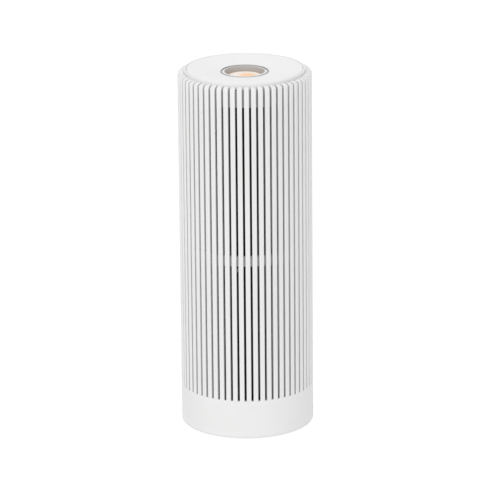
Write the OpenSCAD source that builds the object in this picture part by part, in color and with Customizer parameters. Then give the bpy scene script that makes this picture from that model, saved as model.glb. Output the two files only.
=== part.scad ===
// Slim ribbed air purifier: a slotted round sleeve on a smooth base band, a
// lift-out round filter cartridge, and a lid module that carries the fan, the
// control electronics and a lit push button in the middle of the air outlet.
// Millimetres. +Z is up, the front faces -Y, and the feet stand on z = 0.

/* [Sleeve] */
// Outer radius of the ribbed sleeve
body_r = 70; // [68:1:74]
// Height from the ground to the highest point of the lid
total_h = 386; // [380:1:400]
// Height of the smooth base band, where the slots end
band_top = 43; // [41:1:46]
// Number of vertical air slots
slot_count = 60; // [48:1:66]
// Width of an air slot
slot_w = 2.3; // [1.8:0.1:2.8]
// Radial depth of a rib
rib_depth = 5; // [4.5:0.1:5.2]

/* [Lid] */
// Outer radius of the raised round lid
lid_r = 63.3; // [63:0.1:63.4]
// How far the lid stands above the shoulder of the ribs
lid_rise = 3; // [2:0.5:4]
// Depth of the shallow dish from the lid's edge to the outlet
dish_depth = 3.2; // [2:0.1:3.4]
// Outer radius of the outlet's trim ring
outlet_r = 25.4; // [25:0.1:26]
trim_w = 1.1; // [0.6:0.1:1.4]
// Inner radius of the outlet throat
throat_r = 20.9; // [20.5:0.1:21.2]

/* [Filter] */
// Outer radius of the cartridge's end caps
filter_r = 61.2; // [60.8:0.1:61.4]
// Number of pleats in the filter paper
pleat_count = 64; // [40:4:80]

/* [Fan] */
// Tip radius of the fan wheel
impeller_r = 33; // [31:0.1:33]
// Number of fan blades
blade_count = 9; // [7:1:11]

/* [Button] */
// Radius of the lit button
button_r = 18.6; // [17:0.1:18.8]
// Travel of the button
button_travel = 1.2; // [1:0.1:1.3]

/* [Hidden] */
$fn = 120;
eps = 0.01;
far = 200;

// Base
foot_h = 2.6;
foot_proud = 1.2;
foot_r = 8;
foot_ring_r = 50;
sleeve_z = foot_proud;
base_plate_t = 3;
base_plate_top = sleeve_z + base_plate_t;
band_wall = 2.5;
band_inner_r = body_r - band_wall;
boss_r = 4.5;
boss_ring_r = 61.5;
boss_angles = [45, 135, 225, 315];
screw_r = 1.45;
screw_hole_r = 1.5;
flange_z = 25;
flange_t = 3;
flange_inner_r = 56;
deck_z = flange_z + flange_t;
deck_t = 3;
deck_r = 61.6;
deck_top = deck_z + deck_t;
deck_screw_ring_r = 58.6;
deck_screw_angles = [30, 150, 270];
board_z = 12;
board_t = 1.6;

// Power inlet at the rear
inlet_z = 17;
inlet_r = 6;
inlet_boss_r = 8.5;
inlet_depth_y = 62;
jack_w = 11;
jack_len = 13;

// Sleeve
rib_inner_r = body_r - rib_depth;
shoulder_z = total_h - lid_rise;
shoulder_round = 2.5;
hoop_z = [190.5, 201.5];
hoop_inner_r = 63.2;
hoop_outer_r = rib_inner_r + 0.8;
ring_inner_r = 62.6;
ring_z = 361;
ledge_z = shoulder_z - 4;
opening_r = lid_r + 0.4;

// Riser cable and contacts between the base and the lid
riser_angle = 120;
riser_x = 62.2;
riser_t = 0.7;
riser_w = 7;
contact_z = 366;
contact_h = 12;
contact_w = 12;
contact_x = 62.9;
contact_depth = 2;
contact_pitch = 3.6;
key_angle = 300;

// Filter cartridge
seal_t = 2.2;
cap_z = deck_top + 0.3 + seal_t;
cap_h = 6;
cap_t = 2;
filter_top = 366;
media_z = cap_z + cap_t;
media_top = filter_top - cap_t;
bore_r = 38;
core_in_r = 39;
core_out_r = 40.4;
liner_out_r = 45;
pleat_in_r = 45.4;
pleat_out_r = 58.6;
pleat_t = 0.9;
wrap_in_r = 59;
wrap_out_r = 60.2;
closure_angle = -99.9;
snap_z = 184.7;

// Lid
floor_z = 368;
floor_t = 2.4;
floor_top = floor_z + floor_t;
rim_z = ledge_z + 0.4;
plate_r = lid_r - 2.7;
groove_r = lid_r - 2.4;
rim_round = 1.8;
plate_seat_z = total_h - 3;
plate_seat_r = 58.5;
lid_wall_r = 62;
hole_z = total_h - dish_depth;
pillar_ring_r = 47;
pillar_r = 3;
pillar_angles = [45, 135, 225, 315];
control_z = 374;
boss_r_lid = 3;
boss_ring_lid = 53;

// Fan duct, vanes, motor
duct_in_r = impeller_r + 0.6;
duct_out_r = 35.6;
duct_z = 298;
cone_z = 345;
throat_z = 368;
throat_wall = 1.5;
duct_flange_r = 42;
fan_screw_ring_r = 39;
fan_screw_angles = [90, 210, 330];
hub_r = 16.6;
hub_wall = 1.4;
hub_z = 329;
hub_floor_t = 3;
hub_top = 371.8;
bearing_r = 4;
tube_r = 5.2;
tube_z = 308.5;
shaft_r = 1.5;
impeller_z = 304;
impeller_top = 326;
impeller_hub_r = 17;
light_board_z = 364;
switch_h = 1.6;

// Button
button_top = total_h - dish_depth - 5;
button_t = 2.4;
button_z = button_top - button_t;
stem_r = 3;
skirt_z = 370.4;
stem_z = light_board_z + board_t + switch_h + 0.3 + button_travel;
spring_r = 4.7;
spring_wire_r = 0.35;
spring_turns = 4;

// Points of an arc about [cx, cy] from angle a to angle b
function arc(cx, cy, r, a, b, n = 12) =
    [for (i = [0 : n]) [cx + r * cos(a + (b - a) * i / n), cy + r * sin(a + (b - a) * i / n)]];

// Tube between two radii
module ring(r_in, r_out, h) {
    difference() {
        cylinder(r = r_out, h = h);
        translate([0, 0, -1]) cylinder(r = r_in, h = h + 2);
    }
}

// Flat ring between two radii
module flat_ring(r_in, r_out) {
    difference() {
        circle(r = r_out);
        circle(r = r_in);
    }
}

// Copies of the children round the axis at a list of angles
module around(angles) {
    for (a = angles) rotate([0, 0, a]) children();
}

// Pan-head screw along -Z with its seat at z = 0
module screw(length, head_r, head_h) {
    union() {
        translate([0, 0, -length]) cylinder(r = screw_r, h = length + eps);
        difference() {
            cylinder(r = head_r, h = head_h);
            translate([0, 0, head_h / 2]) cross_recess(head_r, head_h);
        }
    }
}

// Cross-shaped driver recess in a screw head
module cross_recess(head_r, head_h) {
    translate([-head_r * 0.6, -head_r * 0.13, 0]) cube([head_r * 1.2, head_r * 0.26, head_h]);
    translate([-head_r * 0.13, -head_r * 0.6, 0]) cube([head_r * 0.26, head_r * 1.2, head_h]);
}

// ---------- Housing ----------

// One-piece moulding: base band, ribs, stiffening hoop and top ring
module sleeve() {
    color([0.93, 0.93, 0.93]) difference() {
        union() {
            difference() {
                rotate_extrude() sleeve_section();
                for (i = [0 : slot_count - 1]) rotate([0, 0, (i + 0.5) * 360 / slot_count]) air_slot();
            }
            around(boss_angles) sleeve_boss();
            inlet_boss();
        }
        around(boss_angles) translate([boss_ring_r, 0, 0]) cylinder(r = screw_hole_r, h = flange_z - 3);
        around(deck_screw_angles) translate([deck_screw_ring_r, 0, flange_z - 1])
            cylinder(r = screw_hole_r, h = flange_t + 2);
        translate([0, inlet_depth_y - 1, inlet_z]) rotate([-90, 0, 0]) cylinder(r = inlet_r, h = 12);
        rotate([0, 0, riser_angle]) riser_channels();
        rotate([0, 0, key_angle]) translate([61, -2.6, 366]) cube([3, 5.2, 20]);
    }
}

module sleeve_section() {
    polygon(concat(
        arc(body_r - 2, sleeve_z + 2, 2, -90, 0),
        arc(body_r - shoulder_round, shoulder_z - shoulder_round, shoulder_round, 0, 90),
        [
            [opening_r, shoulder_z], [opening_r, ledge_z], [ring_inner_r, ledge_z],
            [ring_inner_r, ring_z], [rib_inner_r, ring_z], [rib_inner_r, hoop_z[1]],
            [hoop_inner_r, hoop_z[1]], [hoop_inner_r, hoop_z[0]], [rib_inner_r, hoop_z[0]],
            [rib_inner_r, band_top - 2], [band_inner_r, band_top - 4.5], [band_inner_r, deck_z],
            [flange_inner_r, deck_z], [flange_inner_r, flange_z], [band_inner_r, flange_z],
            [band_inner_r, sleeve_z]
        ]
    ));
}

// A slot runs from the base band over the shoulder to the lid's edge
module air_slot() {
    difference() {
        translate([rib_inner_r, -slot_w / 2, band_top]) cube([10, slot_w, total_h]);
        translate([rib_inner_r - 1, -slot_w, hoop_z[0]])
            cube([hoop_outer_r - rib_inner_r + 1, 2 * slot_w, hoop_z[1] - hoop_z[0]]);
    }
    translate([ring_inner_r, -slot_w / 2, ledge_z]) cube([10, slot_w, 10]);
}

module sleeve_boss() {
    translate([boss_ring_r, 0, base_plate_top])
        cylinder(r = boss_r, h = flange_z - base_plate_top + 1);
    translate([boss_ring_r, -1, base_plate_top]) cube([band_inner_r - boss_ring_r + 1, 2, 20]);
}

// Thick ring round the power inlet, inside the base band
module inlet_boss() {
    intersection() {
        translate([0, inlet_depth_y, inlet_z]) rotate([-90, 0, 0]) cylinder(r = inlet_boss_r, h = 10);
        translate([0, 0, sleeve_z + 2]) cylinder(r = body_r - 1, h = 60);
        translate([-20, 0, base_plate_top]) cube([40, far, flange_z - base_plate_top + 1]);
    }
}

// Ways for the flat cable through the deck flange and the top ring
module riser_channels() {
    translate([riser_x - 1, -riser_w / 2 - 0.8, flange_z - 1]) cube([2.6, riser_w + 1.6, flange_t + 2]);
    translate([riser_x - 1, -riser_w / 2 - 0.5, ring_z - 1]) cube([2.2, riser_w + 1, 6]);
    translate([contact_x - 2, -contact_w / 2 - 0.1, contact_z - 0.1])
        cube([contact_depth + 2.1, contact_w + 0.2, contact_h + 0.2]);
}

module base_plate() {
    color([0.85, 0.85, 0.85]) difference() {
        union() {
            translate([0, 0, sleeve_z]) cylinder(r = band_inner_r - 0.5, h = base_plate_t);
            for (x = [-26, 26]) translate([x, 46, base_plate_top - eps])
                cylinder(r = 3, h = board_z - base_plate_top + eps);
            translate([0, 0, base_plate_top - eps]) ring(43, 45, 3);
        }
        around([0, 90, 180, 270]) translate([foot_ring_r, 0, -1])
            cylinder(r = foot_r + 0.15, h = foot_h + 1);
        around(boss_angles) translate([boss_ring_r, 0, 0]) {
            cylinder(r = screw_hole_r + 0.1, h = 10);
            cylinder(r = 3.2, h = sleeve_z + 1.4);
        }
    }
}

module feet() {
    color([0.2, 0.2, 0.2]) around([0, 90, 180, 270]) translate([foot_ring_r, 0, 0]) union() {
        translate([0, 0, 0.4]) cylinder(r = foot_r, h = foot_h - 0.4);
        cylinder(r1 = foot_r - 0.4, r2 = foot_r, h = 0.4);
    }
}

module base_screws() {
    color([0.7, 0.7, 0.72]) around(boss_angles) translate([boss_ring_r, 0, sleeve_z + 1.4])
        rotate([180, 0, 0]) screw(15, 3, 1.2);
}

// Steel disc that keeps the slim body steady
module ballast_plate() {
    color([0.55, 0.56, 0.58]) translate([0, 0, base_plate_top]) difference() {
        cylinder(r = 42.8, h = 6);
        for (x = [-20, 20]) translate([x, 0, -1]) cylinder(r = 3, h = 8);
    }
}

module power_board() {
    color([0.1, 0.4, 0.25]) union() {
        translate([0, 0, board_z]) linear_extrude(board_t) intersection() {
            circle(r = 60.5);
            translate([-33, 28]) square([66, 34]);
        }
        for (x = [-14, 0]) translate([x, 38, board_z + board_t - eps]) cylinder(r = 4, h = 9);
        translate([8, 33, board_z + board_t - eps]) cube([14, 10, 6]);
        rotate([0, 0, riser_angle]) translate([56, -5, board_z + 0.2]) cube([8, 10, 6.4]);
    }
}

// Barrel power socket behind the inlet well
module dc_jack() {
    color([0.08, 0.08, 0.08]) translate([0, inlet_depth_y, inlet_z]) union() {
        difference() {
            translate([-4.5, -jack_len, board_z + board_t - inlet_z]) cube([9, jack_len, jack_w - 2]);
            translate([0, 1, 0]) rotate([90, 0, 0]) cylinder(r = 2.75, h = 10);
        }
        translate([0, -1, 0]) rotate([90, 0, 0]) cylinder(r = 1.05, h = 8.5);
    }
}

// Floor that the filter stands on
module filter_deck() {
    color([0.9, 0.9, 0.9]) difference() {
        union() {
            translate([0, 0, deck_z]) cylinder(r = deck_r, h = deck_t);
            around([0, 60, 120]) translate([-52, -1, deck_z - 5]) cube([104, 2, 5 + eps]);
            translate([0, 0, deck_z - 5]) ring(50, 52, 5 + eps);
        }
        around(deck_screw_angles) translate([deck_screw_ring_r, 0, deck_z - 1]) {
            cylinder(r = screw_hole_r, h = 10);
            translate([0, 0, 2.4]) cylinder(r = 2.9, h = 10);
        }
        translate([0, 0, deck_top - 1]) cylinder(r = 30, h = 5);
    }
}

module deck_screws() {
    color([0.7, 0.7, 0.72]) around(deck_screw_angles)
        translate([deck_screw_ring_r, 0, deck_z + 1.4]) screw(7, 2.7, 1.4);
}

// Flat cable up the inside of the sleeve
module riser_cable() {
    color([0.9, 0.9, 0.88]) rotate([0, 0, riser_angle])
        translate([riser_x, -riser_w / 2, board_z + 6.6])
            cube([riser_t, riser_w, contact_z - board_z - 6.6]);
}

module contact_block() {
    color([0.12, 0.12, 0.12]) rotate([0, 0, riser_angle])
        translate([contact_x, -contact_w / 2, contact_z]) cube([contact_depth, contact_w, contact_h]);
}

module contact_pads() {
    color([0.85, 0.7, 0.3]) rotate([0, 0, riser_angle]) for (i = [-1, 0, 1])
        translate([contact_x - 0.3, i * contact_pitch - 0.9, contact_z + 2]) cube([0.3, 1.8, 8]);
}

// ---------- Filter cartridge ----------

module filter_bottom_cap() {
    color([0.9, 0.9, 0.9]) difference() {
        translate([0, 0, cap_z]) cylinder(r = filter_r, h = cap_h);
        translate([0, 0, media_z]) ring(bore_r + 0.8, filter_r - 0.8, cap_h);
        translate([0, 0, media_z]) cylinder(r = bore_r, h = cap_h);
    }
}

module filter_top_cap() {
    color([0.9, 0.9, 0.9]) difference() {
        translate([0, 0, filter_top - cap_h]) cylinder(r = filter_r, h = cap_h);
        translate([0, 0, filter_top - cap_h - 1]) cylinder(r = bore_r, h = cap_h + 2);
        translate([0, 0, filter_top - cap_h - 1]) ring(bore_r + 0.8, filter_r - 0.8, cap_h - cap_t + 1);
    }
}

// Windowed tube that carries the pleats
module filter_core() {
    rows = 10;
    pitch = (media_top - media_z) / rows;
    color([0.85, 0.85, 0.85]) difference() {
        translate([0, 0, media_z]) ring(core_in_r, core_out_r, media_top - media_z);
        for (i = [0 : rows - 1], a = [0 : 30 : 150]) rotate([0, 0, a])
            translate([-50, -7, media_z + i * pitch + 4]) cube([100, 14, pitch - 8]);
    }
}

module carbon_liner() {
    color([0.1, 0.1, 0.1]) translate([0, 0, media_z])
        ring(core_out_r + 0.1, liner_out_r, media_top - media_z);
}

// Zigzag ring of filter paper
module pleated_media() {
    step = 360 / pleat_count;
    function fold(offset) = [for (i = [0 : 2 * pleat_count - 1])
        let (r = (i % 2 == 0 ? pleat_in_r + pleat_t : pleat_out_r) - offset)
        [r * cos(i * step / 2), r * sin(i * step / 2)]];
    color([0.95, 0.94, 0.9]) translate([0, 0, media_z]) linear_extrude(media_top - media_z)
        difference() {
            polygon(fold(0));
            polygon(fold(pleat_t));
        }
}

module prefilter_wrap() {
    color([0.16, 0.16, 0.17]) translate([0, 0, media_z])
        ring(wrap_in_r, wrap_out_r, media_top - media_z);
}

// Strip that closes the wrap
module wrap_closure() {
    color([0.1, 0.1, 0.1]) rotate([0, 0, closure_angle]) intersection() {
        translate([0, 0, media_z + 5]) ring(wrap_out_r, wrap_out_r + 0.4, media_top - media_z - 10);
        translate([50, -3, 0]) cube([20, 6, total_h]);
    }
}

// Press stud on the closure strip
module wrap_snap() {
    color([0.9, 0.9, 0.9]) rotate([0, 0, closure_angle]) translate([wrap_out_r + 0.4, 0, snap_z])
        rotate([0, 90, 0]) cylinder(r = 2, h = 0.6);
}

// Foam ring under the cartridge
module filter_seal() {
    color([0.3, 0.3, 0.3]) translate([0, 0, deck_top + 0.3]) ring(48, 57, seal_t);
}

// Cloth loop for pulling the cartridge out
module pull_tab() {
    color([0.35, 0.35, 0.36]) translate([-8, -59, filter_top]) cube([16, 13.5, 0.8]);
}

module tab_rivets() {
    color([0.7, 0.7, 0.72]) for (x = [-5, 5]) translate([x, -55, filter_top + 0.8])
        cylinder(r = 1.6, h = 0.5);
}

// ---------- Lid module ----------

module lid_shell() {
    color([0.94, 0.94, 0.94]) difference() {
        union() {
            rotate_extrude() lid_section();
            around([0, 90, 180, 270]) translate([boss_ring_lid, 0, floor_top - eps])
                cylinder(r = boss_r_lid, h = control_z - floor_top + eps);
            rotate([0, 0, key_angle]) translate([60, -2, floor_z + 2])
                cube([3.2, 4, rim_z - floor_z - 2 + eps]);
        }
        around(pillar_angles) translate([pillar_ring_r, 0, floor_z - 1]) {
            cylinder(r = screw_hole_r, h = 10);
            cylinder(r = 2.9, h = 2.3);
        }
        around(fan_screw_angles) translate([fan_screw_ring_r, 0, floor_z - 1])
            cylinder(r = screw_hole_r, h = 10);
        rotate([0, 0, riser_angle]) translate([lid_wall_r - 0.6, -6.5, floor_z + 0.6])
            cube([2, 13, 9.8]);
    }
}

module lid_section() {
    polygon(concat(
        [[duct_out_r + 0.6, floor_z], [lid_wall_r, floor_z], [lid_wall_r, rim_z], [lid_r, rim_z]],
        arc(lid_r - rim_round, total_h - rim_round, rim_round, 0, 90),
        [
            [groove_r, total_h], [groove_r, plate_seat_z], [plate_seat_r, plate_seat_z],
            [plate_seat_r, floor_top], [duct_out_r + 0.6, floor_top]
        ]
    ));
}

// Shallow dished plate with pillars that take the lid screws
module top_plate() {
    color([0.95, 0.95, 0.95]) difference() {
        union() {
            rotate_extrude() polygon([
                [outlet_r + 0.1, hole_z - 2.4], [plate_seat_r - 0.5, plate_seat_z],
                [plate_r, plate_seat_z], [plate_r, total_h - 0.4], [plate_r - 0.4, total_h],
                [outlet_r + 0.1, hole_z]
            ]);
            around(pillar_angles) translate([pillar_ring_r, 0, floor_top])
                cylinder(r = pillar_r, h = hole_z - floor_top);
        }
        around(pillar_angles) translate([pillar_ring_r, 0, floor_top - 1])
            cylinder(r = screw_hole_r, h = 9);
    }
}

module trim_ring() {
    color([0.7, 0.7, 0.7]) translate([0, 0, hole_z - 2.4]) ring(outlet_r - trim_w, outlet_r, 2.6);
}

// Translucent lip inside the trim ring; its top falls away from the opening
module light_ring() {
    lip_out_r = outlet_r - trim_w - 0.1;
    color([0.95, 0.93, 0.9]) rotate_extrude() polygon([
        [throat_r, hole_z - 2.8], [lip_out_r, hole_z - 2.8], [lip_out_r, hole_z - 0.6], [throat_r, hole_z]
    ]);
}

module outlet_throat() {
    color([0.85, 0.84, 0.82]) union() {
        translate([0, 0, throat_z]) ring(throat_r, throat_r + throat_wall, hole_z - 2.8 - throat_z);
        translate([0, 0, hole_z - 4.2]) ring(throat_r, outlet_r - trim_w - 0.1, 1.4);
    }
}

// Duct that hangs from the lid into the cartridge and narrows to the throat
module fan_duct() {
    color([0.88, 0.88, 0.88]) difference() {
        rotate_extrude() polygon([
            [duct_in_r, duct_z], [duct_in_r, cone_z], [throat_r, throat_z],
            [throat_r + throat_wall, throat_z], [duct_out_r - 1.6, cone_z + 2],
            [duct_out_r - 1.6, floor_top + 2], [duct_flange_r, floor_top + 2],
            [duct_flange_r, floor_top], [duct_out_r, floor_top], [duct_out_r, duct_z]
        ]);
        around(fan_screw_angles) translate([fan_screw_ring_r, 0, floor_top - 1])
            cylinder(r = screw_hole_r, h = 5);
    }
}

// Finger guard below the fan wheel
module inlet_guard() {
    color([0.88, 0.88, 0.88]) translate([0, 0, duct_z - 3.5]) linear_extrude(3.5) union() {
        for (r = [9, 17, 25, duct_out_r - 1]) flat_ring(r - 0.9, r + 0.9);
        for (a = [0, 60, 120]) rotate(a) square([2 * duct_out_r - 3, 1.6], center = true);
    }
}

// Guide vanes, motor cup and bearing tube in one moulding
module vane_hub() {
    color([0.9, 0.9, 0.9]) difference() {
        union() {
            translate([0, 0, hub_z]) cylinder(r = hub_r, h = hub_top - hub_z);
            translate([0, 0, tube_z]) cylinder(r = tube_r, h = hub_z - tube_z + eps);
            translate([0, 0, 330]) ring(duct_in_r - 1.4, duct_in_r - 0.05, 14);
            intersection() {
                translate([0, 0, 330]) ring(hub_r - 0.5, duct_in_r - 0.8, 14);
                for (i = [0 : 6]) rotate([0, 0, i * 360 / 7]) translate([25, 0, 337])
                    rotate([-30, 0, 0]) cube([24, 1.4, 30], center = true);
            }
        }
        translate([0, 0, hub_z + hub_floor_t])
            cylinder(r = hub_r - hub_wall - 1, h = hub_top);
        translate([0, 0, light_board_z]) cylinder(r = hub_r - hub_wall, h = hub_top);
        translate([0, 0, tube_z - 1]) cylinder(r = bearing_r, h = hub_z + 1.6 - tube_z);
    }
}

module motor_board() {
    color([0.1, 0.4, 0.25]) translate([0, 0, hub_z + hub_floor_t]) union() {
        cylinder(r = 13.5, h = board_t);
        for (a = [20, 140, 260]) rotate([0, 0, a]) translate([7, -2, board_t - eps]) cube([4, 4, 1.2]);
    }
}

// Laminated core with nine teeth
module motor_core() {
    color([0.5, 0.5, 0.52]) translate([0, 0, 310]) linear_extrude(12) union() {
        flat_ring(tube_r + 0.05, 7.6);
        for (i = [0 : 8]) rotate(i * 40) {
            translate([7.2, -0.9]) square([5.2, 1.8]);
            translate([12, -3]) square([1, 6]);
        }
    }
}

module motor_windings() {
    color([0.8, 0.45, 0.2]) translate([0, 0, 309]) for (i = [0 : 8]) rotate([0, 0, i * 40]) difference() {
        translate([8.6, -1.7, 0]) cube([3.1, 3.4, 14]);
        translate([8, -0.95, 0.9]) cube([5, 1.9, 12.2]);
    }
}

module bearing(z) {
    translate([0, 0, z]) difference() {
        cylinder(r = bearing_r - 0.01, h = 4);
        translate([0, 0, -1]) cylinder(r = shaft_r + 0.02, h = 6);
        translate([0, 0, 3.7]) ring(2.3, 3.3, 1);
        translate([0, 0, -0.7]) ring(2.3, 3.3, 1);
    }
}

module bearing_lower() {
    color([0.75, 0.76, 0.78]) bearing(309);
}

module bearing_upper() {
    color([0.75, 0.76, 0.78]) bearing(325.5);
}

module control_board() {
    color([0.1, 0.4, 0.25]) union() {
        difference() {
            translate([0, 0, control_z]) ring(26, 57, board_t);
            around(pillar_angles) translate([pillar_ring_r, 0, control_z - 1])
                cylinder(r = pillar_r + 0.4, h = 5);
        }
        rotate([0, 0, 100]) translate([34, -5, control_z + board_t - eps]) cube([10, 10, 1.4]);
        rotate([0, 0, 160]) translate([36, -3, control_z + board_t - eps]) cube([12, 6, 3]);
        around([10, 25, 250, 265]) translate([42, 0, control_z + board_t - eps]) cylinder(r = 2.5, h = 4);
    }
}

// Air-quality sensor on the control board
module air_sensor() {
    color([0.3, 0.3, 0.32]) rotate([0, 0, 200]) translate([36, -6, control_z + board_t]) difference() {
        cube([12, 12, 3.6]);
        for (y = [2.4, 5.4, 8.4]) translate([2, y, 2.6]) cube([8, 1.2, 2]);
    }
}

// Board with the ring of light-emitting diodes
module light_board() {
    color([0.92, 0.92, 0.9]) union() {
        translate([0, 0, light_board_z]) cylinder(r = hub_r - hub_wall - 0.1, h = board_t);
        for (i = [0 : 7]) rotate([0, 0, i * 45 + 22.5])
            translate([9, -1.2, light_board_z + board_t - eps]) cube([2.4, 2.4, 1]);
    }
}

module button_switch() {
    color([0.12, 0.12, 0.12]) translate([0, 0, light_board_z + board_t]) union() {
        translate([-2.4, -2.4, 0]) cube([4.8, 4.8, switch_h - 0.4]);
        cylinder(r = 1.4, h = switch_h);
    }
}

module lid_screws() {
    color([0.7, 0.7, 0.72]) around(pillar_angles) translate([pillar_ring_r, 0, floor_z + 1.3])
        rotate([180, 0, 0]) screw(8, 2.7, 1.2);
}

module fan_screws() {
    color([0.7, 0.7, 0.72]) around(fan_screw_angles)
        translate([fan_screw_ring_r, 0, floor_top + 2]) screw(4.2, 2.4, 1.2);
}

// Foam ring that closes the gap between the lid and the cartridge
module lid_seal() {
    color([0.3, 0.3, 0.3]) translate([0, 0, filter_top + 0.3]) ring(39.5, 44, floor_z - filter_top - 0.3);
}

// Spring leaves that meet the contact pads
module lid_contacts() {
    color([0.85, 0.7, 0.3]) rotate([0, 0, riser_angle]) for (i = [-1, 0, 1])
        translate([lid_wall_r - 0.6, i * contact_pitch - 0.8, floor_z + 1]) union() {
            cube([0.3, 1.6, 9]);
            translate([0.3 - eps, 0, 3]) cube([0.6, 1.6, 3]);
        }
}

// ---------- Fan wheel ----------

module impeller() {
    color([0.25, 0.25, 0.27]) difference() {
        union() {
            translate([0, 0, impeller_z]) cylinder(r = impeller_hub_r, h = impeller_top - impeller_z);
            intersection() {
                translate([0, 0, impeller_z + 0.5])
                    ring(impeller_hub_r - 0.5, impeller_r, impeller_top - impeller_z - 1);
                for (i = [0 : blade_count - 1]) rotate([0, 0, i * 360 / blade_count])
                    translate([25, 0, (impeller_z + impeller_top) / 2])
                        rotate([42, 0, 0]) cube([24, 1.3, 50], center = true);
            }
        }
        translate([0, 0, impeller_z + 2.5]) ring(3.4, impeller_hub_r - 1.6, far);
        translate([0, 0, impeller_z + 4]) cylinder(r = 5, h = far);
        translate([0, 0, impeller_z + 0.8]) cylinder(r = shaft_r, h = far);
    }
}

module rotor_magnet() {
    color([0.2, 0.2, 0.22]) translate([0, 0, impeller_z + 5])
        ring(13.8, impeller_hub_r - 1.65, 14);
}

module motor_shaft() {
    color([0.8, 0.8, 0.82]) translate([0, 0, impeller_z + 0.8])
        cylinder(r = shaft_r, h = hub_z + 0.2 - impeller_z - 0.8);
}

// ---------- Button ----------

module glow_button() {
    color([1, 0.85, 0.65]) union() {
        translate([0, 0, button_z]) cylinder(r = button_r - 0.6, h = button_t);
        translate([0, 0, button_z]) cylinder(r = button_r, h = button_t - 0.6);
        translate([0, 0, stem_z]) cylinder(r = stem_r, h = button_z - stem_z + eps);
        translate([0, 0, skirt_z]) ring(12.8, 14.2, button_z - skirt_z + eps);
    }
}

// Coil spring as a swept tube along a helix
module button_spring() {
    sides = 8;
    per_turn = 18;
    rings = spring_turns * per_turn;
    bottom = light_board_z + board_t + spring_wire_r + 0.05;
    rise = button_z - 2 * spring_wire_r - 0.1 - light_board_z - board_t;
    points = [for (i = [0 : rings], j = [0 : sides - 1])
        let (a = 360 * i / per_turn, b = 360 * j / sides, r = spring_r + spring_wire_r * cos(b))
        [r * cos(a), r * sin(a), bottom + rise * i / rings + spring_wire_r * sin(b)]];
    walls = [for (i = [0 : rings - 1], j = [0 : sides - 1])
        let (k = (j + 1) % sides)
        [i * sides + j, (i + 1) * sides + j, (i + 1) * sides + k, i * sides + k]];
    first = [for (j = [0 : sides - 1]) j];
    last = [for (j = [sides - 1 : -1 : 0]) rings * sides + j];
    color([0.75, 0.75, 0.78]) polyhedron(points, concat(walls, [first, last]), convexity = 6);
}

sleeve();
base_plate();
feet();
base_screws();
ballast_plate();
power_board();
dc_jack();
filter_deck();
deck_screws();
riser_cable();
contact_block();
contact_pads();
filter_bottom_cap();
filter_top_cap();
filter_core();
carbon_liner();
pleated_media();
prefilter_wrap();
wrap_closure();
wrap_snap();
filter_seal();
pull_tab();
tab_rivets();
lid_shell();
top_plate();
trim_ring();
light_ring();
outlet_throat();
fan_duct();
inlet_guard();
vane_hub();
motor_board();
motor_core();
motor_windings();
bearing_lower();
bearing_upper();
control_board();
air_sensor();
light_board();
button_switch();
lid_screws();
fan_screws();
lid_seal();
lid_contacts();
impeller();
rotor_magnet();
motor_shaft();
glow_button();
button_spring();
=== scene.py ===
"""Looks of a slim ribbed air purifier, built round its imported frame.

Metres, +Z up, the front faces -Y. Outlines are written in millimetres as (radius, height).
"""
import math

import bmesh
import bpy
from mathutils import Matrix, Vector


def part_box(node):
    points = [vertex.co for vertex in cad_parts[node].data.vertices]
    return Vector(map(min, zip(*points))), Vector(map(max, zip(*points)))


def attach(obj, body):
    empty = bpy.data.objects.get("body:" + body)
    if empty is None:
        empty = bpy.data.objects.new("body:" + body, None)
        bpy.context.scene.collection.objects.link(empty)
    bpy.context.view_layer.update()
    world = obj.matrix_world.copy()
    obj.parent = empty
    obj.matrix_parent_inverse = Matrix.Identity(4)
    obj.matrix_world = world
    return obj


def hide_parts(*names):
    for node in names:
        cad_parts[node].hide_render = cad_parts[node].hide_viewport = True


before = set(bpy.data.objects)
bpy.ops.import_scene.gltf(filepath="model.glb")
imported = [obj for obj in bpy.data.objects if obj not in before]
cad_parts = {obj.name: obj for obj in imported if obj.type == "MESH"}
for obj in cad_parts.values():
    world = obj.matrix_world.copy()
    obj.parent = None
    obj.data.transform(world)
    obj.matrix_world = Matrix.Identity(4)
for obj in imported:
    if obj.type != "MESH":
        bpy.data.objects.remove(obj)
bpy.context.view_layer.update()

MM = 0.001
SEGMENTS = 240


# ---------------------------------------------------------------- sizes

def top_of(node):
    """Highest point of a CAD node, in millimetres."""
    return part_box(node)[1].z / MM


def foot_of(node):
    """Lowest point of a CAD node, in millimetres."""
    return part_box(node)[0].z / MM


def radius_of(node):
    """Outer radius of a round CAD node, in millimetres."""
    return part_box(node)[1].x / MM


BODY_R = radius_of("sleeve")
SLEEVE_FOOT = foot_of("sleeve")
SHOULDER = top_of("sleeve")
LID_TOP = top_of("lid_shell")
LID_R = radius_of("lid_shell")
PLATE_R = radius_of("top_plate")
BAND_TOP = 43.0
SLOTS = 60
SLOT_W = 2.3
RIB_IN = BODY_R - 5.0
HOOP = (190.5, 201.5)
HOOP_IN = 63.2
HOOP_OUT = RIB_IN + 0.8
RING_IN = 62.6
RING_FOOT = 361.0
LEDGE = SHOULDER - 4.0
OPENING_R = LID_R + 0.4
BAND_IN = BODY_R - 2.5
FLANGE_IN = 56.0
FLANGE = (25.0, 28.0)
HOLE_Z = LID_TOP - 3.2
HOLE_R = radius_of("trim_ring") - 0.2
THROAT_R = 20.9
INLET_Z = 17.0
INLET_R = 6.0
INLET_Y = 62.0


# ---------------------------------------------------------------- meshes

def finish_mesh(name, mesh, body, material, replaces=(), sharp=32):
    """Make an object of a mesh, shade it smooth with sharp edges, and put it on its body."""
    piece = bpy.data.objects.new(name, mesh)
    bpy.context.scene.collection.objects.link(piece)
    for polygon in mesh.polygons:
        polygon.use_smooth = True
    mesh.set_sharp_from_angle(angle=math.radians(sharp))
    mesh.materials.append(material)
    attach(piece, body)
    if replaces:
        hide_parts(*replaces)
    return piece


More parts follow.
